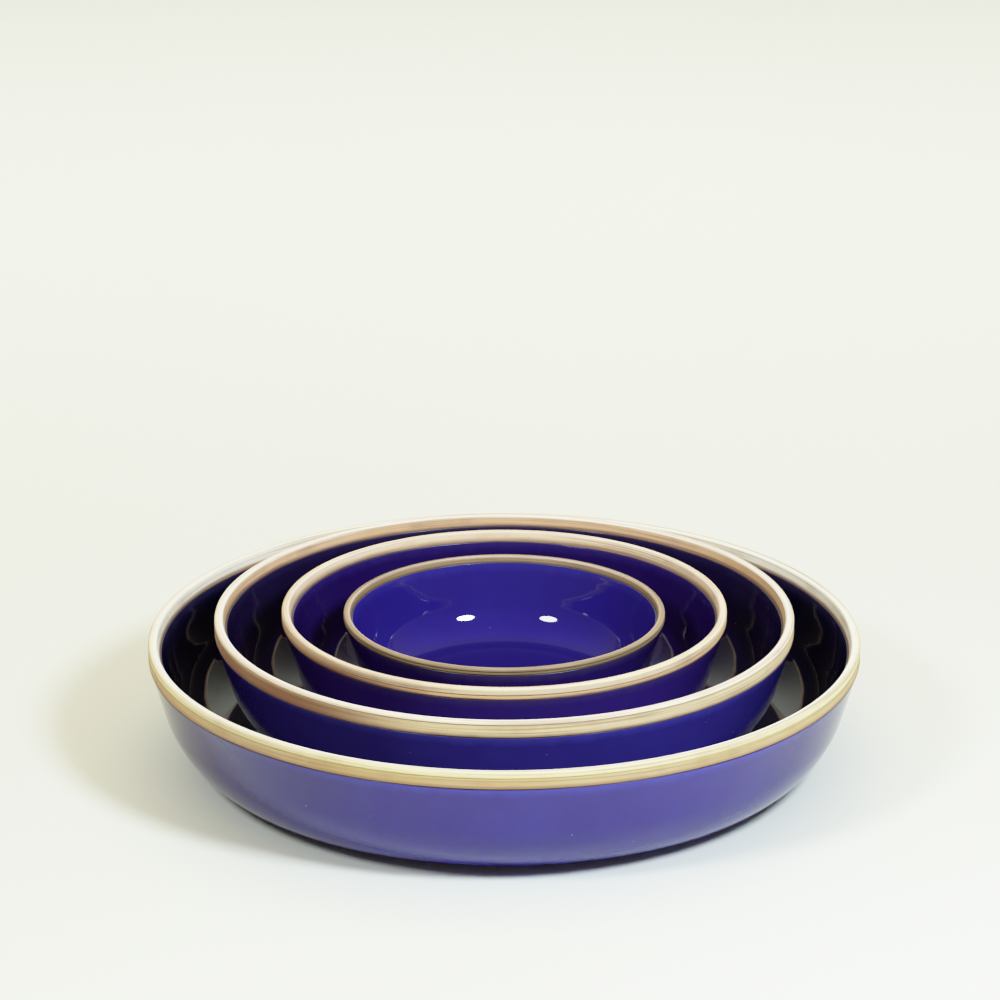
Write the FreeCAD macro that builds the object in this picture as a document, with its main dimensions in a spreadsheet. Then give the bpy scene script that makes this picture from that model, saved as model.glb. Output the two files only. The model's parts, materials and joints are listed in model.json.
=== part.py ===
import FreeCAD, Part
import math
import os
import Sketcher

# A nest of four round, low stoneware bowls, each standing in the next larger one.
# Units are millimetres and degrees.  +Z is up, Z = 0 is the surface that the largest bowl stands on,
# and the Z axis is the common axis of the four bowls.
#
# Each bowl is a turned clay body with a bare rim and a bare foot ring, and three coats of glaze: one
# inside the bowl, one on the outside of the wall, and one inside the foot ring.

# Sizes that all four bowls share
SHARED = {
    "glaze_thickness": 0.5,
    "glaze_setback": 0.65,     # the wall under the lip is this much narrower than the lip
    "wall_lean": 16.0,         # of the wall from the vertical
    "corner_turn": 36.0,       # that the outside turns from the wall to the tighter corner
    "edge_ratio": 0.3,         # of the rim's rounding to its width
    "groove_radius": 0.35,     # of the turned line round the lip
    "foot_edge_radius": 1.0,
}

# Sizes of each bowl.  Heights are measured from the bearing face of its own foot ring.
BOWLS = {
    "largest_bowl": {
        "rim_radius": 152.0, "rim_width": 4.0, "height": 55.5,
        "lip_height": 7.0, "groove_drop": 2.6, "bare_band": 4.5,
        "floor_height": 9.2, "underside_height": 4.3, "recess_height": 3.0,
        "foot_radius": 104.0, "foot_width": 7.0,
        "wall_radius": 41.5, "corner_radius": 12.0, "inner_radius": 28.5,
    },
    "large_bowl": {
        "rim_radius": 123.6, "rim_width": 3.7, "height": 56.3,
        "lip_height": 6.8, "groove_drop": 1.6, "bare_band": 4.3,
        "floor_height": 8.6, "underside_height": 4.1, "recess_height": 2.9,
        "foot_radius": 80.0, "foot_width": 6.0,
        "wall_radius": 47.5, "corner_radius": 12.0, "inner_radius": 33.0,
    },
    "medium_bowl": {
        "rim_radius": 94.9, "rim_width": 3.3, "height": 50.4,
        "lip_height": 4.7, "groove_drop": 3.1, "bare_band": 4.0,
        "floor_height": 8.3, "underside_height": 4.1, "recess_height": 2.9,
        "foot_radius": 60.0, "foot_width": 5.5,
        "wall_radius": 30.0, "corner_radius": 11.0, "inner_radius": 23.0,
    },
    "small_bowl": {
        "rim_radius": 68.6, "rim_width": 2.8, "height": 40.2,
        "lip_height": 2.6, "groove_drop": 1.5, "bare_band": 2.4,
        "floor_height": 5.9, "underside_height": 2.8, "recess_height": 1.9,
        "foot_radius": 42.0, "foot_width": 5.0,
        "wall_radius": 24.0, "corner_radius": 10.0, "inner_radius": 20.0,
    },
}

START, END, CENTRE = 1, 2, 3       # the points of a sketch's edge
ORIGIN = (-1, 1)
X_AXIS, Z_AXIS = -1, -2


# ---------------------------------------------------------------- the document and its sheet

doc = FreeCAD.newDocument("nested_bowls")
sheet = doc.addObject("Spreadsheet::Sheet", "Dimensions")
next_row = 1


def write_cell(alias, value):
    """Keep one driving dimension in the sheet, with its name beside it."""
    global next_row
    sheet.set("A%d" % next_row, alias)
    sheet.set("B%d" % next_row, str(value))
    sheet.setAlias("B%d" % next_row, alias)
    next_row += 1


for alias, value in SHARED.items():
    write_cell(alias, value)
for bowl, sizes in BOWLS.items():
    for alias, value in sizes.items():
        write_cell(bowl + "_" + alias, value)
doc.recompute()


def cell(alias):
    """The name of a shared dimension in an expression."""
    return "Dimensions." + alias


# ---------------------------------------------------------------- the outline of a bowl

class Outline:
    """The corners of one bowl's section, radius across and height up, worked out from its sizes."""

    def __init__(self, size):
        glaze = SHARED["glaze_thickness"]
        lean = math.radians(SHARED["wall_lean"])
        turn = lean + math.radians(SHARED["corner_turn"])
        self.lean, self.turn = lean, turn
        rim, top = size["rim_radius"], size["height"]
        wall, corner, inner = size["wall_radius"], size["corner_radius"], size["inner_radius"]
        edge = SHARED["edge_ratio"] * size["rim_width"]

        # outside of the clay, from the lip down
        self.wall_top = (rim - SHARED["glaze_setback"], top - size["lip_height"])
        arc_height = wall * (math.sin(turn) - math.sin(lean)) + corner * (1 - math.sin(turn))
        wall_low = size["underside_height"] + arc_height
        self.wall_foot = (self.wall_top[0] - (self.wall_top[1] - wall_low) * math.tan(lean), wall_low)
        self.wall_centre = (self.wall_foot[0] - wall * math.cos(lean),
                            self.wall_foot[1] + wall * math.sin(lean))
        self.corner_centre = (self.wall_centre[0] + (wall - corner) * math.cos(turn),
                              self.wall_centre[1] - (wall - corner) * math.sin(turn))
        self.corner_end = (self.corner_centre[0], size["underside_height"])

        # inside of the clay, from the rim down
        clay_floor = size["floor_height"] - glaze
        self.flat_end = (rim - size["rim_width"] + edge, top)
        self.edge_centre = (self.flat_end[0], top - edge)
        self.inner_top = (self.edge_centre[0] - edge * math.cos(lean),
                          self.edge_centre[1] + edge * math.sin(lean))
        inner_low = clay_floor + inner * (1 - math.sin(lean))
        self.inner_foot = (self.inner_top[0] - (self.inner_top[1] - inner_low) * math.tan(lean), inner_low)
        self.inner_centre = (self.inner_foot[0] - inner * math.cos(lean), clay_floor + inner)
        self.clay_floor = clay_floor
        self.edge = edge


def along(centre, radius, angle):
    """The point of a circle at an angle below the level through its centre."""
    return (centre[0] + radius * math.cos(angle), centre[1] - radius * math.sin(angle))


# ---------------------------------------------------------------- sketching

class Section:
    """A closed section, drawn in a body's XZ plane and turned once round its Z axis."""

    def __init__(self, name, bowl):
        self.bowl = bowl
        self.body = doc.addObject("PartDesign::Body", name)
        self.body.Label = name
        self.sketch = self.body.newObject("Sketcher::SketchObject", name + "_section")
        plane = [f for f in self.body.Origin.OriginFeatures if f.Role == "XZ_Plane"][0]
        self.sketch.AttachmentSupport = [(plane, "")]
        self.sketch.MapMode = "FlatFace"

    def line(self, start, end):
        """A straight edge."""
        ends = [FreeCAD.Vector(p[0], p[1], 0) for p in (start, end)]
        return self.sketch.addGeometry(Part.LineSegment(*ends), False)

    def arc(self, centre, radius, start, end):
        """A round edge, anticlockwise from one angle to the other, in degrees."""
        circle = Part.Circle(FreeCAD.Vector(centre[0], centre[1], 0), FreeCAD.Vector(0, 0, 1), radius)
        return self.sketch.addGeometry(Part.ArcOfCircle(circle, math.radians(start), math.radians(end)), False)

    def rule(self, *parts):
        """A geometric constraint."""
        return self.sketch.addConstraint(Sketcher.Constraint(*parts))

    def join(self, first, first_point, second, second_point):
        self.rule("Coincident", first, first_point, second, second_point)

    def blend(self, first, first_point, second, second_point):
        """Join two edges so that one runs smoothly into the other."""
        self.rule("Tangent", first, first_point, second, second_point)

    def size(self, name, expression, value, *parts):
        """A dimension that follows the sheet."""
        index = self.rule(*parts, value)
        self.sketch.renameConstraint(index, name)
        self.sketch.setExpression("Constraints." + name, expression.replace("bowl.", cell(self.bowl + "_")))

    def across(self, name, expression, value, edge, point):
        """The radius at which a point lies."""
        self.size(name, expression, value, "DistanceX", *ORIGIN, edge, point)

    def up(self, name, expression, value, edge, point):
        """The height at which a point lies."""
        self.size(name, expression, value, "DistanceY", *ORIGIN, edge, point)

    def lean(self, edge):
        """Set a wall's lean from the vertical."""
        self.size("wall_lean", "(90 - %s) * 1 deg" % cell("wall_lean"),
                  math.radians(90 - SHARED["wall_lean"]), "Angle", edge)

    def revolve(self):
        """Turn the section into a solid."""
        turn = self.body.newObject("PartDesign::Revolution", self.body.Name + "_turned")
        turn.Profile = self.sketch
        turn.ReferenceAxis = (self.sketch, ["V_Axis"])
        turn.Angle = 360.0
        self.sketch.Visibility = False
        return self.body


def draw_outside(section, outline, size):
    """The clay's outside from the underside up to the lip: underside, corner, wall arc, wall."""
    corner_end, turn, lean = outline.corner_end, outline.turn, outline.lean
    underside = section.line((size["foot_radius"], corner_end[1]), corner_end)
    corner = section.arc(outline.corner_centre, size["corner_radius"], -90, -math.degrees(turn))
    bend = section.arc(outline.wall_centre, size["wall_radius"], -math.degrees(turn), -math.degrees(lean))
    wall = section.line(outline.wall_foot, outline.wall_top)
    section.rule("Horizontal", underside)
    section.blend(underside, END, corner, START)
    section.blend(corner, END, bend, START)
    section.blend(bend, END, wall, START)
    section.size("corner_radius", "bowl.corner_radius", size["corner_radius"], "Radius", corner)
    section.size("wall_radius", "bowl.wall_radius", size["wall_radius"], "Radius", bend)
    section.size("wall_turn", cell("corner_turn") + " * 1 deg", turn - lean, "Angle", bend)
    section.lean(wall)
    section.across("foot_radius", "bowl.foot_radius", size["foot_radius"], underside, START)
    section.up("underside", "bowl.underside_height", size["underside_height"], underside, START)
    section.across("wall_top_radius", "bowl.rim_radius - " + cell("glaze_setback"),
                   outline.wall_top[0], wall, END)
    section.up("wall_top_height", "bowl.height - bowl.lip_height", outline.wall_top[1], wall, END)
    return underside, corner, bend, wall


def draw_inside(section, outline, size, top):
    """The clay's inside from the wall's top down to the floor and the axis: wall, bend, floor."""
    lean = outline.lean
    wall = section.line(outline.inner_foot, top)
    bend = section.arc(outline.inner_centre, size["inner_radius"], -90, -math.degrees(lean))
    floor = section.line((0, outline.clay_floor), (outline.inner_centre[0], outline.clay_floor))
    section.blend(floor, END, bend, START)
    section.blend(bend, END, wall, START)
    section.rule("Horizontal", floor)
    section.rule("PointOnObject", floor, START, Z_AXIS)
    section.size("inner_radius", "bowl.inner_radius", size["inner_radius"], "Radius", bend)
    section.up("clay_floor", "bowl.floor_height - " + cell("glaze_thickness"), outline.clay_floor, floor, START)
    return wall, bend, floor


# ---------------------------------------------------------------- the clay body

def clay_body(bowl, size):
    """The fired clay: floor, foot ring, wall and the bare lip with its turned line."""
    outline = Outline(size)
    section = Section(bowl + "_clay_body", bowl)
    rim, top, edge = size["rim_radius"], size["height"], outline.edge
    lip_low = top - size["lip_height"]
    line_height, line_radius = top - size["groove_drop"], SHARED["groove_radius"]
    foot_inside = size["foot_radius"] - size["foot_width"]
    foot_edge, recess, foot = SHARED["foot_edge_radius"], size["recess_height"], size["foot_radius"]

    underside, corner, bend, wall = draw_outside(section, outline, size)

    # the lip: ledge, face with the turned line, rounded edge, flat, rounded edge
    ledge = section.line(outline.wall_top, (rim, lip_low))
    face_low = section.line((rim, lip_low), (rim, line_height - line_radius))
    groove = section.arc((rim, line_height), line_radius, 90, 270)
    face_high = section.line((rim, line_height + line_radius), (rim, top - edge))
    outer_edge = section.arc((rim - edge, top - edge), edge, 0, 90)
    flat = section.line((rim - edge, top), outline.flat_end)
    inner_edge = section.arc(outline.edge_centre, edge, 90, 180 - SHARED["wall_lean"])
    section.join(wall, END, ledge, START)
    section.rule("Horizontal", ledge)
    section.join(ledge, END, face_low, START)
    section.join(face_low, END, groove, END)
    section.join(groove, START, face_high, START)
    section.blend(face_high, END, outer_edge, START)
    section.blend(outer_edge, END, flat, START)
    section.blend(flat, END, inner_edge, START)
    for face in (face_low, face_high):
        section.rule("Vertical", face)
        section.rule("PointOnObject", groove, CENTRE, face)
    section.rule("Horizontal", flat)
    section.rule("Equal", outer_edge, inner_edge)
    section.across("rim_radius", "bowl.rim_radius", rim, face_high, END)
    section.up("height", "bowl.height", top, flat, START)
    section.size("rim_edge", "bowl.rim_width * " + cell("edge_ratio"), edge, "Radius", outer_edge)
    section.size("rim_flat", "bowl.rim_width * (1 - 2 * %s)" % cell("edge_ratio"),
                 size["rim_width"] - 2 * edge, "DistanceX", flat, END, flat, START)
    section.size("groove_radius", cell("groove_radius"), line_radius, "Radius", groove)
    section.up("groove_height", "bowl.height - bowl.groove_drop", line_height, groove, CENTRE)

    # the inside
    inner_wall, inner_bend, floor = draw_inside(section, outline, size, outline.inner_top)
    section.blend(inner_edge, END, inner_wall, END)
    section.rule("Parallel", wall, inner_wall)

    # the axis and the foot ring
    axis = section.line((0, recess), (0, outline.clay_floor))
    ceiling = section.line((foot_inside, recess), (0, recess))
    inner_face = section.line((foot_inside, foot_edge), (foot_inside, recess))
    inner_foot = section.arc((foot_inside + foot_edge, foot_edge), foot_edge, 180, 270)
    bearing = section.line((foot_inside + foot_edge, 0), (foot - foot_edge, 0))
    outer_foot = section.arc((foot - foot_edge, foot_edge), foot_edge, 270, 360)
    outer_face = section.line((foot, foot_edge), (foot, size["underside_height"]))
    section.join(axis, END, floor, START)
    section.join(axis, START, ceiling, END)
    section.join(ceiling, START, inner_face, END)
    section.blend(inner_face, START, inner_foot, START)
    section.blend(inner_foot, END, bearing, START)
    section.blend(bearing, END, outer_foot, START)
    section.blend(outer_foot, END, outer_face, START)
    section.join(outer_face, END, underside, START)
    section.rule("PointOnObject", axis, START, Z_AXIS)
    section.rule("Horizontal", ceiling)
    section.rule("Vertical", inner_face)
    section.rule("Vertical", outer_face)
    section.rule("PointOnObject", bearing, START, X_AXIS)
    section.rule("Horizontal", bearing)
    section.rule("Equal", inner_foot, outer_foot)
    section.size("foot_edge", cell("foot_edge_radius"), foot_edge, "Radius", outer_foot)
    section.up("recess", "bowl.recess_height", recess, axis, START)
    section.across("foot_inside", "bowl.foot_radius - bowl.foot_width", foot_inside, inner_face, END)
    return section


# ---------------------------------------------------------------- the glaze coats

def outer_glaze(bowl, size):
    """The coat on the outside of the wall, from under the lip to the foot ring."""
    outline = Outline(size)
    section = Section(bowl + "_outer_glaze", bowl)
    glaze, lean, turn = SHARED["glaze_thickness"], outline.lean, outline.turn
    underside, corner, bend, wall = draw_outside(section, outline, size)

    # the coat's own surface, with a rolled edge under the lip
    roll_centre = (outline.wall_top[0] - glaze * math.sin(lean), outline.wall_top[1] - glaze * math.cos(lean))
    low, foot = size["underside_height"] - glaze, size["foot_radius"]
    roll = section.arc(roll_centre, glaze, -SHARED["wall_lean"], 90 - SHARED["wall_lean"])
    skin_wall = section.line(along(outline.wall_centre, size["wall_radius"] + glaze, lean),
                             along(roll_centre, glaze, lean))
    skin_bend = section.arc(outline.wall_centre, size["wall_radius"] + glaze,
                            -math.degrees(turn), -math.degrees(lean))
    skin_corner = section.arc(outline.corner_centre, size["corner_radius"] + glaze, -90, -math.degrees(turn))
    skin_under = section.line((foot, low), (outline.corner_centre[0], low))
    foot_end = section.line((foot, size["underside_height"]), (foot, low))
    section.join(roll, END, wall, END)
    section.rule("PointOnObject", roll, CENTRE, wall)
    section.rule("Parallel", skin_wall, wall)
    section.blend(skin_wall, END, roll, START)
    section.blend(skin_bend, END, skin_wall, START)
    section.blend(skin_corner, END, skin_bend, START)
    section.blend(skin_under, END, skin_corner, START)
    section.join(skin_bend, CENTRE, bend, CENTRE)
    section.join(skin_corner, CENTRE, corner, CENTRE)
    section.join(foot_end, START, underside, START)
    section.join(foot_end, END, skin_under, START)
    section.rule("Vertical", foot_end)
    section.rule("Horizontal", skin_under)
    section.size("glaze_thickness", cell("glaze_thickness"), glaze, "Radius", roll)
    return section


def inner_glaze(bowl, size):
    """The coat inside the bowl, from under the bare band down the wall and over the floor."""
    outline = Outline(size)
    section = Section(bowl + "_inner_glaze", bowl)
    glaze, lean = SHARED["glaze_thickness"], outline.lean
    band_low = size["height"] - size["bare_band"]
    coat_top = (outline.inner_top[0] - (outline.inner_top[1] - band_low) * math.tan(lean), band_low)
    wall, bend, floor = draw_inside(section, outline, size, coat_top)
    section.lean(wall)
    section.up("coat_top", "bowl.height - bowl.bare_band", band_low, wall, END)
    # the wall runs through the foot of the rim's rounding
    guide = section.arc(outline.edge_centre, outline.edge, 90, 180 - SHARED["wall_lean"])
    reach = section.line(coat_top, outline.inner_top)
    section.sketch.toggleConstruction(guide)
    section.sketch.toggleConstruction(reach)
    section.blend(guide, END, reach, END)
    section.join(reach, START, wall, END)
    section.rule("Parallel", reach, wall)
    section.size("rim_edge", "bowl.rim_width * " + cell("edge_ratio"), outline.edge, "Radius", guide)
    section.up("height", "bowl.height", size["height"], guide, START)
    section.across("flat_end", "bowl.rim_radius - bowl.rim_width * (1 - %s)" % cell("edge_ratio"),
                   outline.flat_end[0], guide, START)
    section.rule("Vertical", guide, START, guide, CENTRE)

    # the coat's own surface, with a rolled edge under the bare band
    roll_centre = (coat_top[0] - glaze * math.sin(lean), coat_top[1] - glaze * math.cos(lean))
    surface = outline.clay_floor + glaze
    roll_end = (roll_centre[0] - glaze * math.cos(lean), roll_centre[1] + glaze * math.sin(lean))
    roll = section.arc(roll_centre, glaze, 90 - SHARED["wall_lean"], 180 - SHARED["wall_lean"])
    skin_wall = section.line(along(outline.inner_centre, size["inner_radius"] - glaze, lean), roll_end)
    skin_bend = section.arc(outline.inner_centre, size["inner_radius"] - glaze, -90, -math.degrees(lean))
    skin_floor = section.line((0, surface), (outline.inner_centre[0], surface))
    axis = section.line((0, outline.clay_floor), (0, surface))
    section.join(roll, START, wall, END)
    section.rule("PointOnObject", roll, CENTRE, wall)
    section.rule("Parallel", skin_wall, wall)
    section.blend(roll, END, skin_wall, END)
    section.blend(skin_bend, END, skin_wall, START)
    section.blend(skin_floor, END, skin_bend, START)
    section.join(skin_bend, CENTRE, bend, CENTRE)
    section.join(axis, START, floor, START)
    section.join(axis, END, skin_floor, START)
    section.rule("Vertical", axis)
    section.rule("Horizontal", skin_floor)
    section.size("glaze_thickness", cell("glaze_thickness"), glaze, "Radius", roll)
    return section


def foot_glaze(bowl, size):
    """The coat on the underside of the floor, inside the foot ring."""
    section = Section(bowl + "_foot_glaze", bowl)
    glaze, recess = SHARED["glaze_thickness"], size["recess_height"]
    radius = size["foot_radius"] - size["foot_width"]
    low = recess - glaze
    under = section.line((0, low), (radius - glaze, low))
    roll = section.arc((radius - glaze, recess), glaze, -90, 0)
    face = section.line((0, recess), (radius, recess))
    axis = section.line((0, low), (0, recess))
    section.blend(under, END, roll, START)
    section.join(roll, END, face, END)
    section.rule("PointOnObject", roll, CENTRE, face)
    section.join(axis, START, under, START)
    section.join(axis, END, face, START)
    section.rule("PointOnObject", axis, START, Z_AXIS)
    section.rule("Horizontal", under)
    section.rule("Horizontal", face)
    section.rule("Vertical", axis)
    section.size("glaze_thickness", cell("glaze_thickness"), glaze, "Radius", roll)
    section.across("radius", "bowl.foot_radius - bowl.foot_width", radius, face, END)
    section.up("recess", "bowl.recess_height", recess, face, END)
    return section


# ---------------------------------------------------------------- the nest

floors_below = []      # the floors that the next bowl's foot ring stands on, one on another
bodies = []
sections = []
for bowl, size in BOWLS.items():
    for make in (clay_body, inner_glaze, outer_glaze, foot_glaze):
        section = make(bowl, size)
        sections.append(section)
        bodies.append(section.revolve())
        if floors_below:
            bodies[-1].setExpression("Placement.Base.z", " + ".join(floors_below))
    floors_below.append(cell(bowl + "_floor_height"))
doc.recompute()


# ---------------------------------------------------------------- checks and files

for item in doc.Objects:
    if any(state in ("Invalid", "Error") for state in item.State):
        raise RuntimeError("%s failed: %s" % (item.Name, item.State))
for section in sections:
    if not section.sketch.FullyConstrained:
        raise RuntimeError("%s is not fully constrained" % section.sketch.Name)
for body in bodies:
    if body.Shape.isNull() or not body.Shape.isValid() or len(body.Shape.Solids) != 1:
        raise RuntimeError("%s has no valid shape" % body.Label)

os.makedirs("parts", exist_ok=True)
for body in bodies:
    body.Shape.exportStep(os.path.join("parts", body.Label + ".step"))
    box = body.Shape.BoundBox
    print("%-28s r %7.2f  z %6.2f to %6.2f  %9.0f mm3" %
          (body.Label, box.XMax, box.ZMin, box.ZMax, body.Shape.Volume))
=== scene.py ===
import json
import math

import bpy
import numpy as np
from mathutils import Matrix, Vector

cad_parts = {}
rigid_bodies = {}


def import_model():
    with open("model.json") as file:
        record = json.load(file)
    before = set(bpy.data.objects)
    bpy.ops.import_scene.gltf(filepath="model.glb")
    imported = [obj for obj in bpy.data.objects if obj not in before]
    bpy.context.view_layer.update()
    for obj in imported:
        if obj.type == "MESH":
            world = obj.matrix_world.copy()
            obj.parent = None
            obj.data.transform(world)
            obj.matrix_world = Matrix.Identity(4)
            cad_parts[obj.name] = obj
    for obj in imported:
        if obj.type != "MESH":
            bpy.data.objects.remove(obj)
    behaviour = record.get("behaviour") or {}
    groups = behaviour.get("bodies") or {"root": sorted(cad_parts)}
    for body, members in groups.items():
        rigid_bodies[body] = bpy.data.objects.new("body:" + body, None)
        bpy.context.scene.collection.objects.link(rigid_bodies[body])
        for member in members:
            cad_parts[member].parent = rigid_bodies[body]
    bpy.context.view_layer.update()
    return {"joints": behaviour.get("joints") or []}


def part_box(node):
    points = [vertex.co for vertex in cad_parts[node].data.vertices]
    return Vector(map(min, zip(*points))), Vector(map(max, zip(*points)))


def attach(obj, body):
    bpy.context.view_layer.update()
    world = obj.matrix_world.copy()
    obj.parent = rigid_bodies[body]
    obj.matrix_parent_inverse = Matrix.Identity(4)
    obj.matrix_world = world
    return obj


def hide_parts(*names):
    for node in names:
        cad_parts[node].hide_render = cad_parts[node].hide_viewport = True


# A nest of four stoneware bowls with cobalt-blue glaze and bare clay rims, on a pale studio floor.
# Lengths are metres unless a name says millimetres. Angles are degrees in the tables and in calls,
# and radians inside the functions that work with them.

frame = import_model()

MM = 0.001
BOWLS = [body["child"] for body in frame["joints"]]
BOWLS.insert(0, frame["joints"][0]["parent"])


# ---------------------------------------------------------------- sizes

GLAZE = 0.5 * MM            # the thickness of every coat
WALL_LEAN = 16.0            # of the walls from the vertical
CORNER_TURN = 36.0          # that the outside turns from the wall to the tighter corner
EDGE_RATIO = 0.3            # of the rim's rounding to its width
GROOVE_RADIUS = 0.35 * MM
FOOT_EDGE = 1.0 * MM
LIP_EDGE = 0.25 * MM        # the rounding of the lip's lower edge
OVERLAP = 0.12 * MM         # how far a coat's hidden side reaches into the clay
LIP_SETBACK = 0.65 * MM     # how far the wall's top stands in from the rim's outer face

# Each bowl's own sizes, in millimetres, where the frame's boxes don't give them
SIZES_MM = {
    "largest_bowl": {"rim_width": 4.0, "groove_drop": 2.6, "foot_radius": 104.0,
                     "wall_radius": 41.5, "corner_radius": 12.0, "inner_radius": 28.5},
    "large_bowl": {"rim_width": 3.7, "groove_drop": 1.6, "foot_radius": 80.0,
                   "wall_radius": 47.5, "corner_radius": 12.0, "inner_radius": 33.0},
    "medium_bowl": {"rim_width": 3.3, "groove_drop": 3.1, "foot_radius": 60.0,
                    "wall_radius": 30.0, "corner_radius": 11.0, "inner_radius": 23.0},
    "small_bowl": {"rim_width": 2.8, "groove_drop": 1.5, "foot_radius": 42.0,
                   "wall_radius": 24.0, "corner_radius": 10.0, "inner_radius": 20.0},
}


def polar(centre, radius, degrees):
    """The point of a circle at an angle above the level through its centre."""
    angle = math.radians(degrees)
    return (centre[0] + radius * math.cos(angle), centre[1] + radius * math.sin(angle))


class Bowl:
    """The corners of one bowl's section, radius across and height up, where the nest holds it."""

    def __init__(self, name):
        self.name = name
        for key, value in SIZES_MM[name].items():
            setattr(self, key, value * MM)
        clay_low, clay_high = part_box(name + "_clay_body")
        inner_low, inner_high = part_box(name + "_inner_glaze")
        outer_low, outer_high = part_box(name + "_outer_glaze")
        _, foot_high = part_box(name + "_foot_glaze")
        self.base, self.top, self.rim_radius = clay_low.z, clay_high.z, clay_high.x
        self.clay_floor, self.band_low = inner_low.z, inner_high.z
        self.underside, self.lip_low = outer_low.z + GLAZE, outer_high.z
        self.recess, self.foot_inside = foot_high.z, foot_high.x

        lean, turn = math.radians(WALL_LEAN), math.radians(WALL_LEAN + CORNER_TURN)
        self.edge = EDGE_RATIO * self.rim_width

        # outside of the clay, from the lip down
        wall_top = (self.rim_radius - LIP_SETBACK, self.lip_low)
        arc_height = (self.wall_radius * (math.sin(turn) - math.sin(lean))
                      + self.corner_radius * (1 - math.sin(turn)))
        wall_low = self.underside + arc_height
        foot_across = wall_top[0] - (wall_top[1] - wall_low) * math.tan(lean)
        self.wall_top = wall_top
        self.wall_centre = (foot_across - self.wall_radius * math.cos(lean),
                            wall_low + self.wall_radius * math.sin(lean))
        shift = self.wall_radius - self.corner_radius
        self.corner_centre = (self.wall_centre[0] + shift * math.cos(turn),
                              self.wall_centre[1] - shift * math.sin(turn))

        # inside of the clay, from the rim down
        self.edge_centre = (self.rim_radius - self.rim_width + self.edge, self.top - self.edge)
        self.inner_top = polar(self.edge_centre, self.edge, 180 - WALL_LEAN)
        inner_low_height = self.clay_floor + self.inner_radius * (1 - math.sin(lean))
        inner_across = self.inner_top[0] - (self.inner_top[1] - inner_low_height) * math.tan(lean)
        self.inner_centre = (inner_across - self.inner_radius * math.cos(lean),
                             self.clay_floor + self.inner_radius)


# ---------------------------------------------------------------- turning

AROUND = 360                # faces in one turn
FINE, COARSE = 1.15 * MM, 3.0 * MM      # steps along a wall, and along level or hidden stretches
COINCIDENT = 1e-7           # points nearer than this are one point
LEVEL = 0.05                # a surface that faces less far outward than this is level
CREASE = 50.0               # edges sharper than this aren't shaded smooth

# The unevenness of a thrown surface, in millimetres. Each ring has a wavelength and a height. The
# lumps' count round the bowl, wavelength and height each lie between two values.
RINGS_MM = ((6.5, 0.003), (9.0, 0.005), (4.2, 0.001))
LUMPS, LUMPS_AROUND, LUMP_WAVE_MM, LUMP_HEIGHT_MM = 14, (2, 15), (24, 70), (0.003, 0.009)


class Section:
    """A section's points in order, each with the side of the bowl that it is on."""

    def __init__(self):
        self.points, self.sides = [], []

    def at(self, point, side=0.0):
        """Add a point: side is 1 on the outside, -1 on the inside and 0 where nothing is uneven."""
        self.points.append(point)
        self.sides.append(side)

    def to(self, point, side=0.0, step=FINE):
        """A straight run to a point."""
        start = self.points[-1]
        count = max(1, math.ceil(math.dist(start, point) / step))
        for i in range(1, count + 1):
            share = i / count
            self.at((start[0] + (point[0] - start[0]) * share,
                     start[1] + (point[1] - start[1]) * share), side)

    def arc(self, centre, radius, start, end, side=0.0, step=FINE):
        """A round run, from one angle to another."""
        count = max(4, math.ceil(abs(math.radians(end - start)) * radius / step))
        for i in range(count + 1):
            point = polar(centre, radius, start + (end - start) * i / count)
            if not self.points or math.dist(self.points[-1], point) > COINCIDENT:
                self.at(point, side)


def throwing_marks(seed):
    """How far a thrown surface lies below its true shape, along the section and round it."""
    random = np.random.default_rng(seed)
    rings = [(wave * MM, height * MM, random.uniform(0, 2 * math.pi)) for wave, height in RINGS_MM]
    lumps = [(int(random.integers(*LUMPS_AROUND)), random.uniform(*LUMP_WAVE_MM) * MM,
              random.uniform(*LUMP_HEIGHT_MM) * MM, random.uniform(0, 2 * math.pi),
              random.uniform(0, 2 * math.pi)) for _ in range(LUMPS)]

    def depth(along, angle):
        total = np.zeros_like(along)
        deepest = 0.0
        for wave, height, phase in rings:
            total += height * np.sin(2 * math.pi * along / wave + angle + phase)
            deepest += height
        for count, wave, height, phase, slip in lumps:
            ripple = np.cos(2 * math.pi * along / wave + slip)
            total += height * np.cos(count * angle + phase) * ripple
            deepest += height
        return deepest - total

    return depth


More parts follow.
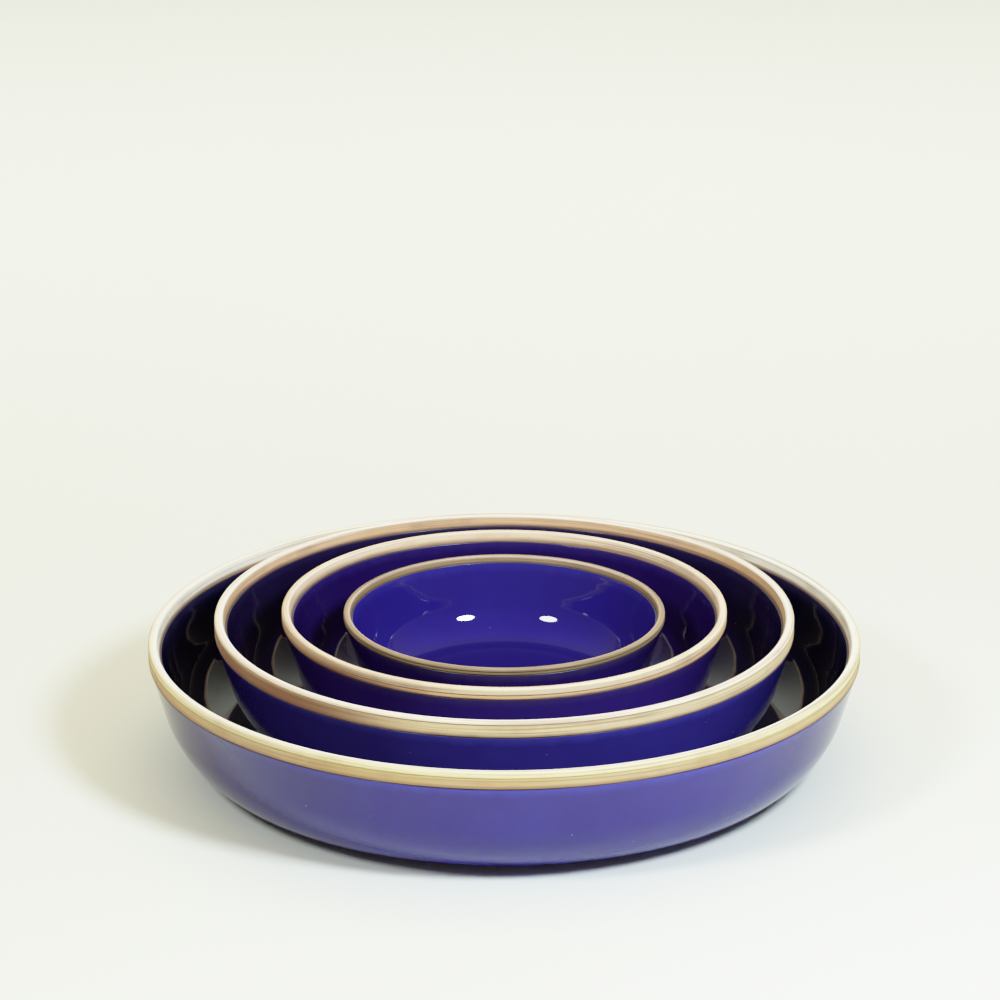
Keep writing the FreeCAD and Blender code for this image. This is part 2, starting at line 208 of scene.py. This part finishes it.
def turned(name, section, marks=None, wander=None):
    """A mesh turned round the Z axis: marks makes it uneven, and wander moves a coat's edge."""
    points, sides = np.array(section.points), np.array(section.sides)
    angle = np.arange(AROUND) * 2 * math.pi / AROUND
    across = np.repeat(points[:, :1], AROUND, 1)
    height = np.repeat(points[:, 1:], AROUND, 1)
    turn = np.repeat(angle[None, :], len(points), 0)
    if wander is not None:
        move_across, move_up = wander(points, angle)
        across, height = across + move_across, height + move_up
    if marks is not None:
        tangent = np.gradient(points, axis=0)
        tangent /= np.linalg.norm(tangent, axis=1)[:, None]
        outward = np.stack([tangent[:, 1], -tangent[:, 0]], 1)
        outward[outward[:, 0] * sides < 0] *= -1
        sink = marks(across + height, turn) * (np.abs(sides) * smooth_sides(sides))[:, None]
        level = np.abs(outward[:, 0]) < LEVEL
        outward[level] = (0.0, 1.0)
        outward[level & (sides > 0)] = (0.0, -1.0)
        across, height = across - outward[:, :1] * sink, height - outward[:, 1:] * sink

    pole_first, pole_last = points[0, 0] < COINCIDENT, points[-1, 0] < COINCIDENT
    rows = list(range(1 if pole_first else 0, len(points) - (1 if pole_last else 0)))
    ring = np.stack([across[rows] * np.cos(turn[rows]), across[rows] * np.sin(turn[rows]),
                     height[rows]], 2)
    vertices = ring.reshape(-1, 3).tolist()
    around = np.arange(AROUND)
    following = (around + 1) % AROUND
    faces = []
    last = len(rows) - 1
    for row in range(last if pole_first or pole_last else len(rows)):
        low, high = row * AROUND, ((row + 1) % len(rows)) * AROUND
        corners = [low + around, low + following, high + following, high + around]
        faces += np.stack(corners, 1).tolist()
    if pole_first:
        faces += [(len(vertices), b, a) for a, b in zip(around.tolist(), following.tolist())]
        vertices.append((0.0, 0.0, float(height[0].mean())))
    if pole_last:
        start = last * AROUND
        faces += [(len(vertices), start + a, start + b)
                  for a, b in zip(around.tolist(), following.tolist())]
        vertices.append((0.0, 0.0, float(height[-1].mean())))

    mesh = bpy.data.meshes.new(name)
    mesh.from_pydata(vertices, [], faces)
    mesh.validate()
    mesh.polygons.foreach_set("use_smooth", [True] * len(mesh.polygons))
    mesh.set_sharp_from_angle(angle=math.radians(CREASE))
    mesh.update()
    piece = bpy.data.objects.new(name, mesh)
    bpy.context.scene.collection.objects.link(piece)
    return piece


def smooth_sides(sides):
    """Let unevenness grow gently from where a section's even stretches end."""
    uneven = (np.abs(sides) > 0).astype(float)
    kernel = np.ones(9) / 9
    padded = np.pad(uneven, 4, mode="edge")
    return np.convolve(padded, kernel, mode="valid") * uneven


# ---------------------------------------------------------------- the pieces of a bowl

def outside(section, bowl, offset, side=1.0):
    """The outside from the lip down to the foot ring, an offset away from the clay."""
    lean, turn = -WALL_LEAN, -WALL_LEAN - CORNER_TURN
    section.to(polar(bowl.wall_centre, bowl.wall_radius + offset, lean), side)
    section.arc(bowl.wall_centre, bowl.wall_radius + offset, lean, turn, side)
    section.arc(bowl.corner_centre, bowl.corner_radius + offset, turn, -90, side)
    section.to((bowl.foot_radius, bowl.underside - offset), side, COARSE)


def inside(section, bowl, offset, side=-1.0):
    """The inside from the rim to the floor's middle, an offset from the clay into the hollow."""
    section.to(polar(bowl.inner_centre, bowl.inner_radius - offset, -WALL_LEAN), side)
    section.arc(bowl.inner_centre, bowl.inner_radius - offset, -WALL_LEAN, -90, side)
    section.to((0.0, bowl.clay_floor + offset), side, COARSE)


def clay_section(bowl):
    """The clay, from the underside's middle round the wall and rim to the floor's middle."""
    section = Section()
    rim, top, foot = bowl.rim_radius, bowl.top, bowl.foot_radius
    groove = top - bowl.groove_drop
    section.at((0.0, bowl.recess))
    section.to((bowl.foot_inside, bowl.recess), step=COARSE)
    section.to((bowl.foot_inside, bowl.base + FOOT_EDGE))
    section.arc((bowl.foot_inside + FOOT_EDGE, bowl.base + FOOT_EDGE), FOOT_EDGE, 180, 270,
                step=0.2 * MM)
    section.to((foot - FOOT_EDGE, bowl.base))
    section.arc((foot - FOOT_EDGE, bowl.base + FOOT_EDGE), FOOT_EDGE, -90, 0, step=0.2 * MM)
    section.to((foot, bowl.underside), step=0.4 * MM)

    wall = Section()
    wall.at(bowl.wall_top)
    outside(wall, bowl, 0.0)
    for point, side in list(zip(wall.points, wall.sides))[-2::-1]:
        section.at(point, side)

    section.to((rim - LIP_EDGE, bowl.lip_low), step=0.2 * MM)
    section.arc((rim - LIP_EDGE, bowl.lip_low + LIP_EDGE), LIP_EDGE, -90, 0, step=0.08 * MM)
    section.to((rim, groove - GROOVE_RADIUS), step=0.4 * MM)
    section.arc((rim, groove), GROOVE_RADIUS, 270, 90, step=0.1 * MM)
    section.to((rim, top - bowl.edge), step=0.4 * MM)
    section.arc((rim - bowl.edge, top - bowl.edge), bowl.edge, 0, 90, step=0.15 * MM)
    section.to((bowl.edge_centre[0], top), step=0.4 * MM)
    section.arc(bowl.edge_centre, bowl.edge, 90, 180 - WALL_LEAN, step=0.15 * MM)
    inside(section, bowl, 0.0)
    return section


def edge_wander(start, amount, seed):
    """Move a coat's edge up and down the wall, by less and less away from the edge."""
    random = np.random.default_rng(seed)
    waves = [(count, random.uniform(0.4, 1.0) / count ** 0.5, random.uniform(0, 2 * math.pi))
             for count in (2, 3, 5, 7, 11, 16, 23, 31, 44, 61, 83)]
    total = sum(height for _, height, _ in waves) / 2

    def move(points, angle):
        line = sum(height * np.sin(count * angle + phase) for count, height, phase in waves) / total
        share = np.clip(1 - (start[1] - points[:, 1]) / WANDER_REACH, 0, 1) ** 2
        shift = amount * share[:, None] * (line - 1)[None, :]
        return shift * WALL_UP[0], shift * WALL_UP[1]

    return move


WALL_UP = (math.sin(math.radians(WALL_LEAN)), math.cos(math.radians(WALL_LEAN)))


def coat_section(bowl, run, edge_point, outward):
    """A closed coat: its face from the rolled edge down, then its hidden side back in the clay."""
    face, hidden = Section(), Section()
    side = 1.0 if outward else -1.0
    roll_centre = (edge_point[0] - GLAZE * WALL_UP[0], edge_point[1] - GLAZE * WALL_UP[1])
    roll_start = 90 - WALL_LEAN
    roll_end = -WALL_LEAN if outward else 180 - WALL_LEAN
    face.arc(roll_centre, GLAZE, roll_start, roll_end, step=0.1 * MM)
    run(face, bowl, GLAZE, side)
    hidden.at(polar(edge_point, OVERLAP, -WALL_LEAN + (180 if outward else 0)))
    run(hidden, bowl, -OVERLAP, side)
    section = Section()
    for point, mark in zip(face.points, face.sides):
        section.at(point, mark)
    for point, mark in list(zip(hidden.points, hidden.sides))[::-1]:
        section.at(point, mark)
    return section


def foot_coat_section(bowl):
    """The coat inside the foot ring."""
    section = Section()
    low = bowl.recess - GLAZE
    section.at((0.0, low))
    section.to((bowl.foot_inside - GLAZE, low), step=COARSE)
    section.arc((bowl.foot_inside - GLAZE, bowl.recess), GLAZE, -90, 0, step=0.1 * MM)
    section.to((bowl.foot_inside, bowl.recess + OVERLAP))
    section.to((0.0, bowl.recess + OVERLAP), step=COARSE)
    return section


# ---------------------------------------------------------------- materials

class Shader:
    """A material's nodes. Each call adds one, and an input is a number, a colour or a socket."""

    def __init__(self, name):
        self.material = bpy.data.materials.new(name)
        self.material.use_nodes = True
        self.nodes, self.links = self.material.node_tree.nodes, self.material.node_tree.links
        self.surface = self.nodes["Principled BSDF"]

    def set(self, socket, value):
        """Give a socket a value or a link."""
        if isinstance(value, bpy.types.NodeSocket):
            self.links.new(value, socket)
        elif isinstance(value, tuple) and len(value) == 3 and socket.type == "RGBA":
            socket.default_value = (*value, 1.0)
        else:
            socket.default_value = value

    def add(self, kind, inputs=(), output=0, **settings):
        """Add a node with its settings and inputs, and return one of its outputs."""
        node = self.nodes.new("ShaderNode" + kind)
        for key, value in settings.items():
            setattr(node, key, value)
        for key, value in dict(inputs).items():
            self.set(node.inputs[key], value)
        return node.outputs[output]

    def math(self, operation, first, second=0.0, third=0.0):
        return self.add("Math", {0: first, 1: second, 2: third}, operation=operation)

    def span(self, value, low, high, start=0.0, end=1.0, kind="SMOOTHSTEP"):
        """Carry a value from one range to another, smoothly unless kind says otherwise."""
        return self.add("MapRange", {"Value": value, "From Min": low, "From Max": high,
                                     "To Min": start, "To Max": end}, interpolation_type=kind)

    def mix(self, share, first, second, blend="MIX"):
        """Mix two colours."""
        node = self.nodes.new("ShaderNodeMix")
        node.data_type, node.blend_type = "RGBA", blend
        self.set(node.inputs["Factor"], share)
        self.set([s for s in node.inputs if s.identifier == "A_Color"][0], first)
        self.set([s for s in node.inputs if s.identifier == "B_Color"][0], second)
        return [s for s in node.outputs if s.identifier == "Result_Color"][0]

    def noise(self, vector, scale, detail=3.0, roughness=0.5):
        return self.add("TexNoise", {"Vector": vector, "Scale": scale, "Detail": detail,
                                     "Roughness": roughness})

    def bump(self, height, strength, distance, under=None):
        inputs = {"Height": height, "Strength": strength, "Distance": distance}
        if under is not None:
            inputs["Normal"] = under
        return self.add("Bump", inputs)


def places(shader):
    """What materials are laid out by: place, height, radius, and angle from the bowl's right.

    The angle jumps from 180 to -180 on the left. Its size, the last value, doesn't, so a noise laid
    out by that one shows no seam.
    """
    place = shader.add("TexCoord", output=3)
    split = shader.nodes.new("ShaderNodeSeparateXYZ")
    shader.links.new(place, split.inputs[0])
    x, y, height = split.outputs
    squares = [shader.math("MULTIPLY", side, side) for side in (x, y)]
    radius = shader.math("SQRT", shader.math("ADD", *squares))
    angle = shader.math("ARCTAN2", y, x)
    return place, height, radius, angle, shader.math("ABSOLUTE", angle)


def turning_lines(shader, height, radius, from_right, apart, seed):
    """A noise of thin lines round the bowl, a given length apart."""
    vector = shader.add("CombineXYZ", {0: shader.math("DIVIDE", height, apart),
                                       1: shader.math("DIVIDE", radius, apart),
                                       2: shader.math("MULTIPLY_ADD", from_right, 1.2, seed)})
    return shader.noise(vector, 1.0, 4.0, 0.6)


# Each bowl's clay. Colours: worn is the rubbed edge, cream and outer_band are above and below the
# groove outside, inner_band is inside, and scorched is beside the glaze. Shares: flashing is how
# far the kiln reddened the front left, pale_sides how pale the inner band is at the sides,
# inside_reach and outside_reach how much of the bare band is scorched, and crest_in how far in from
# the rim the worn edge lies, in rim widths.
# The tones were fitted to each rim as the nest shades it, so they carry some painted shade.
CLAY_LOOKS = {
    "largest_bowl": {
        "worn": (0.9, 0.83, 0.74), "cream": (0.78, 0.65, 0.34), "groove": (0.5, 0.4, 0.18),
        "outer_band": (0.5, 0.335, 0.15), "inner_band": (0.6, 0.34, 0.14),
        "scorched": (0.25, 0.14, 0.07), "flashing": 0.2, "pale_sides": 0.9,
        "inside_reach": 0.2, "outside_reach": 0.32, "crest_in": 0.0},
    "large_bowl": {
        "worn": (0.92, 0.81, 0.74), "cream": (0.92, 0.75, 0.54), "groove": (0.45, 0.33, 0.19),
        "outer_band": (0.88, 0.66, 0.36), "inner_band": (0.62, 0.35, 0.165),
        "scorched": (0.22, 0.11, 0.07), "flashing": 0.9, "pale_sides": 0.1,
        "inside_reach": 0.2, "outside_reach": 0.32, "crest_in": 0.0},
    "medium_bowl": {
        "worn": (0.84, 0.71, 0.64), "cream": (0.9, 0.68, 0.42), "groove": (0.42, 0.24, 0.14),
        "outer_band": (0.94, 0.54, 0.24), "inner_band": (0.86, 0.6, 0.38),
        "scorched": (0.24, 0.13, 0.08), "flashing": 0.95, "pale_sides": 0.25,
        "inside_reach": 0.45, "outside_reach": 0.2, "crest_in": 0.35},
    "small_bowl": {
        "worn": (0.57, 0.45, 0.39), "cream": (0.26, 0.18, 0.09), "groove": (0.13, 0.08, 0.035),
        "outer_band": (0.28, 0.18, 0.075), "inner_band": (0.28, 0.17, 0.08),
        "scorched": (0.13, 0.08, 0.04), "flashing": 0.1, "pale_sides": 0.0,
        "inside_reach": 0.2, "outside_reach": 0.2, "crest_in": 0.35},
}
TERRACOTTA = (0.27, 0.095, 0.05)
FLASH_ANGLE = -146.0        # the middle of the flashing, at the front left


def clay(bowl, seed):
    """Bare, turned stoneware: paler where worn, browner beside the glaze, with lines and specks."""
    looks = CLAY_LOOKS[bowl.name]
    worn, scorched, flashing = looks["worn"], looks["scorched"], looks["flashing"]
    shader = Shader(bowl.name + "_clay")
    place, height, radius, angle, from_right = places(shader)
    cloud = shader.noise(place, 45.0, 3.0, 0.55)
    patches = shader.noise(place, 14.0, 2.0, 0.5)
    lines = turning_lines(shader, height, radius, from_right, 0.62 * MM, seed)

    # how far above the nearest coat a point of the bare clay is, as a share of the scorch's reach
    on_outside = shader.math("GREATER_THAN", radius, bowl.rim_radius - 0.35 * bowl.rim_width)
    coat_line = shader.math("MULTIPLY_ADD", on_outside, bowl.lip_low - bowl.band_low, bowl.band_low)
    from_coat = shader.math("SUBTRACT", height, coat_line)
    bare = bowl.top - bowl.lip_low
    inside_reach, outside_reach = looks["inside_reach"] * bare, looks["outside_reach"] * bare
    reach = shader.math("MULTIPLY_ADD", on_outside, outside_reach - inside_reach, inside_reach)
    from_coat = shader.math("DIVIDE", from_coat, reach)
    from_coat = shader.math("MULTIPLY_ADD", cloud, 0.8, shader.math("SUBTRACT", from_coat, 0.4))
    scorch = shader.span(from_coat, -0.1, 1.0, 0.95, 0.0)
    worn_low = shader.math("MULTIPLY_ADD", on_outside, -1.3 * MM, bowl.top - 1.1 * MM)
    wear = shader.span(height, worn_low, bowl.top - 0.15 * MM, 0.0, 1.0)
    crest = bowl.rim_radius - looks["crest_in"] * bowl.rim_width
    outward = shader.span(radius, crest - 0.75 * bowl.rim_width, crest, 1.0, 0.15)
    wear = shader.math("MULTIPLY", wear, outward)

    groove_height = bowl.top - bowl.groove_drop
    upper = shader.span(height, groove_height - 0.4 * MM, groove_height + 0.6 * MM)
    colour = shader.mix(upper, looks["outer_band"], looks["cream"])
    sideways = shader.math("ABSOLUTE", shader.math("COSINE", angle))
    sides = shader.span(sideways, 0.38, 0.76, 0.0, looks["pale_sides"])
    colour = shader.mix(on_outside, shader.mix(sides, looks["inner_band"], worn), colour)
    colour = shader.mix(shader.span(patches, 0.32, 0.68, 0.0, 0.12), colour, worn)
    colour = shader.mix(shader.span(cloud, 0.45, 0.75, 0.0, 0.35), colour, scorched)
    from_flash = shader.math("ADD", angle, math.radians(-FLASH_ANGLE))
    flash = shader.span(shader.math("COSINE", from_flash), 0.72, 1.0)
    flash = shader.math("MULTIPLY", flash, shader.math("MULTIPLY_ADD", upper, -0.6, 1.0))
    patchy = shader.span(patches, 0.25, 0.6, 0.6 * flashing, flashing)
    flash = shader.math("MULTIPLY", flash, patchy)
    colour = shader.mix(shader.math("MULTIPLY", flash, on_outside), colour, TERRACOTTA)
    colour = shader.mix(wear, colour, worn)
    colour = shader.mix(scorch, colour, scorched)
    colour = shader.mix(shader.span(lines, 0.51, 0.62, 0.0, 0.55), colour, scorched)
    # darker along the groove, fading out 0.75 mm above and below it
    from_groove = shader.math("ABSOLUTE", shader.math("SUBTRACT", height, groove_height))
    groove_darkening = shader.span(from_groove, 0.15 * MM, 0.75 * MM, 0.75, 0.0)
    colour = shader.mix(shader.math("MULTIPLY", groove_darkening, on_outside), colour, looks["groove"])

    # iron specks
    cells = shader.add("TexVoronoi", {"Vector": place, "Scale": 700.0}, feature="F1")
    specks = shader.span(cells, 0.10, 0.22, 0.45, 0.0)
    rare = shader.math("GREATER_THAN", shader.noise(place, 260.0, 1.0), 0.60)
    colour = shader.mix(shader.math("MULTIPLY", specks, rare), colour, looks["groove"])

    grain = shader.noise(place, 2600.0, 2.0, 0.6)
    normal = shader.bump(lines, 0.35, 0.10 * MM)
    normal = shader.bump(grain, 0.30, 0.05 * MM, normal)
    rough = shader.span(cloud, 0.3, 0.7, 0.62, 0.78, "LINEAR")
    shader.links.new(colour, shader.surface.inputs["Base Color"])
    shader.links.new(rough, shader.surface.inputs["Roughness"])
    shader.links.new(normal, shader.surface.inputs["Normal"])
    shader.surface.inputs["IOR"].default_value = 1.45
    shader.surface.inputs["Specular IOR Level"].default_value = 0.35
    return shader.material


# Each bowl's glaze, where it lies deep and where it lies thin. The colours carry painted shade, as
# each bowl is shaded in the nest: the larger bowls' dark insides are mostly the painted shade of
# the gaps between the bowls. middle is how far the floor's middle is lightened, in the bowls whose
# floors another bowl hides.
GLAZE_LOOKS = {
    "largest_bowl": {"inside": ((0.003, 0.002, 0.012), (0.016, 0.012, 0.055)),
                     "outside": ((0.020, 0.007, 0.19), (0.040, 0.036, 0.38)),
                     "middle": 0.75},
    "large_bowl": {"inside": ((0.006, 0.003, 0.022), (0.014, 0.009, 0.052)),
                   "outside": ((0.034, 0.022, 0.24), (0.066, 0.058, 0.46)),
                   "middle": 0.75},
    "medium_bowl": {"inside": ((0.010, 0.003, 0.058), (0.020, 0.010, 0.13)),
                    "outside": ((0.034, 0.013, 0.19), (0.062, 0.038, 0.17)),
                    "middle": 0.6},
    "small_bowl": {"inside": ((0.015, 0.0075, 0.150), (0.027, 0.019, 0.225)),
                   "outside": ((0.018, 0.006, 0.11), (0.066, 0.040, 0.14)),
                   "middle": 0.0},
}
FLOOR_BLUE = (0.022, 0.012, 0.17)
ROLLED_BROWN = (0.05, 0.03, 0.035)
PALE_SPECK = (0.42, 0.42, 0.50)
LEAST_SHADE_ANGLE = -82.0        # the middle of the brighter front outside, where the painted shade is least


def glaze(bowl, side, seed):
    """Glossy cobalt glaze: darker on the floor, brighter where thin, with a faint ripple."""
    looks = GLAZE_LOOKS[bowl.name]
    # the deep and thin colours, with the nest's painted shade in them
    deep_with_shade, thin_with_shade = looks["inside" if side == "inside" else "outside"]
    darkest = tuple(0.25 * value for value in deep_with_shade)
    shader = Shader("%s_glaze_%s" % (bowl.name, side))
    place, height, radius, angle, from_right = places(shader)
    edge_height = {"inside": bowl.band_low, "outside": bowl.lip_low, "foot": bowl.top}[side]
    below = shader.math("SUBTRACT", edge_height, height)
    cloud = shader.noise(place, 32.0, 3.0, 0.55)
    streaks = shader.add("CombineXYZ", {0: shader.math("MULTIPLY", from_right, 14.0),
                                        1: shader.math("MULTIPLY", height, 30.0), 2: seed})
    runs = shader.noise(streaks, 1.0, 2.0)

    below_runs = shader.math("MULTIPLY_ADD", runs, 3.0 * MM, below)
    thinning = shader.span(below_runs, 1.4 * MM, 7.0 * MM, 1.0, 0.0)
    mottle = shader.span(cloud, 0.35, 0.70, 0.0, 0.14)
    share = shader.math("MAXIMUM", shader.math("MULTIPLY", thinning, 0.75), mottle)
    colour = shader.mix(share, deep_with_shade, thin_with_shade)
    if side == "inside":
        # darker on the floor, fading out 3.5 mm up the cove
        above_floor = shader.math("SUBTRACT", height, bowl.clay_floor)
        floor_darkening = shader.span(above_floor, 0.6 * MM, 3.5 * MM, 0.5, 0.0)
        colour = shader.mix(floor_darkening, colour, darkest)
        cloudy_radius = shader.math("MULTIPLY_ADD", cloud, 12.0 * MM, radius)
        middle = shader.span(cloudy_radius, 0.35 * bowl.rim_radius, 0.62 * bowl.rim_radius,
                             looks["middle"], 0.0)
        colour = shader.mix(middle, colour, FLOOR_BLUE)
    if side == "outside":
        # painted shade: darker towards the sides and back, darkest on the left, brightest at the
        # front
        from_least_shade = shader.math("ADD", angle, math.radians(-LEAST_SHADE_ANGLE))
        turned_away = shader.math("ABSOLUTE", from_least_shade)
        painted_side_shade = shader.span(turned_away, math.radians(20.0), math.radians(80.0), 0.0, 0.7)
        colour = shader.mix(painted_side_shade, colour, darkest)
        to_left = shader.math("MULTIPLY", shader.math("COSINE", angle), -1.0)
        painted_left_shade = shader.span(to_left, 0.15, 0.95, 0.0, 0.4)
        colour = shader.mix(painted_left_shade, colour, (0.5 * deep_with_shade[0], 0.3 * deep_with_shade[1], 0.35 * deep_with_shade[2]))
    rolled = shader.span(below, 0.25 * MM, 0.9 * MM, 0.75, 0.0)
    colour = shader.mix(rolled, colour, ROLLED_BROWN)

    cells = shader.add("TexVoronoi", {"Vector": place, "Scale": 420.0}, feature="F1")
    rare = shader.math("GREATER_THAN", shader.noise(place, 150.0, 1.0), 0.70)
    specks = shader.math("MULTIPLY", shader.span(cells, 0.05, 0.11, 0.8, 0.0), rare)
    colour = shader.mix(specks, colour, PALE_SPECK)

    peel = shader.noise(place, 240.0, 2.0, 0.5)
    ripple = shader.noise(place, 60.0, 1.0, 0.5)
    normal = shader.bump(peel, 0.15, 0.010 * MM)
    normal = shader.bump(ripple, 0.25, 0.03 * MM, normal)
    rough = shader.span(cloud, 0.3, 0.7, 0.02, 0.045, "LINEAR")
    rough = shader.math("MAXIMUM", rough, shader.math("MULTIPLY", rolled, 0.55))
    shader.links.new(colour, shader.surface.inputs["Base Color"])
    shader.links.new(rough, shader.surface.inputs["Roughness"])
    shader.links.new(normal, shader.surface.inputs["Normal"])
    shader.surface.inputs["IOR"].default_value = 1.5
    return shader.material


# ---------------------------------------------------------------- the nest

MARKS_SEED = 11
WANDER_SEED = {"inside": 31, "outside": 51}
WANDER = {"inside": 0.28 * MM, "outside": 0.16 * MM}    # how far a coat's edge strays
WANDER_REACH = 6 * MM       # how far below the edge the straying dies away


def place_piece(piece, bowl, node, material):
    """Put a finished piece into the frame in a node's stead."""
    piece.data.materials.append(material)
    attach(piece, bowl.name)
    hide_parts(node)


for number, name in enumerate(BOWLS):
    bowl = Bowl(name)
    marks = throwing_marks(MARKS_SEED + number)
    body = turned(name + "_turned_clay", clay_section(bowl), marks)
    place_piece(body, bowl, name + "_clay_body", clay(bowl, 3.0 * number))

    drop = bowl.inner_top[1] - bowl.band_low
    inner_edge = (bowl.inner_top[0] - drop * math.tan(math.radians(WALL_LEAN)), bowl.band_low)
    for side, kind, run, edge in (("inside", "_inner_glaze", inside, inner_edge),
                                  ("outside", "_outer_glaze", outside, bowl.wall_top)):
        section = coat_section(bowl, run, edge, side == "outside")
        wander = edge_wander(edge, WANDER[side], WANDER_SEED[side] + number)
        coat = turned("%s_%s_coat" % (name, side), section, marks, wander)
        place_piece(coat, bowl, name + kind, glaze(bowl, side, 5.0 * number))
    foot = turned(name + "_foot_coat", foot_coat_section(bowl))
    place_piece(foot, bowl, name + "_foot_glaze", glaze(bowl, "foot", 5.0 * number))


# ---------------------------------------------------------------- stage, light and camera

def swept_floor():
    """A wide pale floor that curves up into a backdrop behind the object."""
    half_width, front, bend_start, bend_radius, wall_top = 9.0, -9.0, 2.6, 1.2, 3.4
    bends = 24
    profile = [(front, 0.0), (-2.0, 0.0), (0.0, 0.0), (bend_start, 0.0)]
    for i in range(1, bends + 1):
        angle = math.radians(90 * i / bends)
        profile.append((bend_start + bend_radius * math.sin(angle),
                        bend_radius * (1 - math.cos(angle))))
    profile.append((bend_start + bend_radius, wall_top))
    vertices = [(x, y, z) for y, z in profile for x in (-half_width, half_width)]
    faces = [(2 * i, 2 * i + 1, 2 * i + 3, 2 * i + 2) for i in range(len(profile) - 1)]
    mesh = bpy.data.meshes.new("studio_sweep")
    mesh.from_pydata(vertices, [], faces)
    mesh.polygons.foreach_set("use_smooth", [True] * len(faces))
    sweep = bpy.data.objects.new("studio_sweep", mesh)
    bpy.context.scene.collection.objects.link(sweep)
    shader = Shader("studio_paper")
    place = shader.add("TexCoord", output=3)
    tone = shader.span(shader.noise(place, 1.5, 2.0), 0.3, 0.7, 0.0, 1.0, "LINEAR")
    shader.links.new(shader.mix(tone, (0.80, 0.80, 0.765), (0.815, 0.82, 0.785)),
                     shader.surface.inputs["Base Color"])
    shader.surface.inputs["Roughness"].default_value = 0.9
    shader.surface.inputs["Specular IOR Level"].default_value = 0.1
    mesh.materials.append(shader.material)


def lamp(name, place, size, power, colour, aim=(0.0, 0.0, 0.03), spread=180.0, mirrored=True):
    """A soft lamp aimed at a point: round where size is one width, a panel where it is two."""
    light = bpy.data.lights.new(name, "AREA")
    light.energy, light.color, light.spread = power, colour, math.radians(spread)
    if len(size) == 1:
        light.shape, light.size = "DISK", size[0]
    else:
        light.shape, light.size, light.size_y = "RECTANGLE", size[0], size[1]
    bulb = bpy.data.objects.new(name, light)
    bulb.location = place
    bulb.rotation_euler = (Vector(place) - Vector(aim)).to_track_quat("Z", "Y").to_euler()
    bulb.visible_camera = False
    bulb.visible_glossy = mirrored
    bpy.context.scene.collection.objects.link(bulb)


def room():
    """The dim, warm room round the sweep, which is brighter behind the nest than in front of it."""
    world = bpy.data.worlds.new("room")
    bpy.context.scene.world = world
    world.use_nodes = True
    nodes, links = world.node_tree.nodes, world.node_tree.links
    background = nodes["Background"]
    direction = nodes.new("ShaderNodeTexCoord").outputs["Generated"]
    split = nodes.new("ShaderNodeSeparateXYZ")
    links.new(direction, split.inputs[0])
    rear = nodes.new("ShaderNodeMapRange")
    rear.inputs["From Min"].default_value, rear.inputs["From Max"].default_value = -0.3, 0.9
    rear.inputs["To Min"].default_value, rear.inputs["To Max"].default_value = 0.15, 0.45
    rear.interpolation_type = "SMOOTHSTEP"
    links.new(split.outputs["Y"], rear.inputs["Value"])
    links.new(rear.outputs[0], background.inputs["Strength"])
    background.inputs["Color"].default_value = (1.0, 0.88, 0.60, 1.0)


def camera():
    """The camera, in front of the nest and a little above it."""
    data = bpy.data.cameras.new("camera")
    data.lens, data.sensor_width = 162.0, 36.0
    data.clip_start, data.clip_end = 0.05, 60.0
    eye = bpy.data.objects.new("camera", data)
    eye.location = (-0.0018, -1.793, 0.7586)
    looks_down = 19.716
    eye.rotation_euler = (math.radians(90 - looks_down), 0.0, 0.0)
    bpy.context.scene.collection.objects.link(eye)
    bpy.context.scene.camera = eye


def exposure():
    """Roll the highlights off gently, as a camera does."""
    settings = bpy.context.scene.view_settings
    settings.view_transform, settings.look = "Standard", "None"
    settings.use_curve_mapping = True
    mapping = settings.curve_mapping
    brightest = 3.0
    mapping.white_level = (brightest,) * 3
    curve = mapping.curves[3]
    knots = [(0.3, 0.3), (0.6, 0.54), (0.9, 0.71), (1.35, 0.86), (2.0, 0.95)]
    for light, shown in knots:
        curve.points.new(light / brightest, shown)
    mapping.update()


swept_floor()
COOL, NEUTRAL = (0.85, 1.0, 1.07), (0.92, 1.0, 0.95)
WARM, WASH = (1.0, 0.81, 0.30), (0.93, 1.0, 0.92)
lamp("lamp_right", (0.476, -0.587, 0.729), (0.235,), 13.0, COOL)
lamp("lamp_left", (-0.672, -0.672, 0.887), (0.30,), 8.5, NEUTRAL)
lamp("overhead_scrim", (0.0, 0.0, 2.0), (2.5, 2.5), 22.7, WARM, mirrored=False)
lamp("backdrop_wash", (0.0, 0.88, 1.2), (2.6, 1.1), 9.3, WASH, (0.0, 0.88, 0.0), 80.0, False)
lamp("sweep_wash", (0.0, 1.6, 2.9), (4.0, 0.5), 75.0, WASH, (0.0, 3.8, 1.0), 150.0, False)
room()
camera()
exposure()
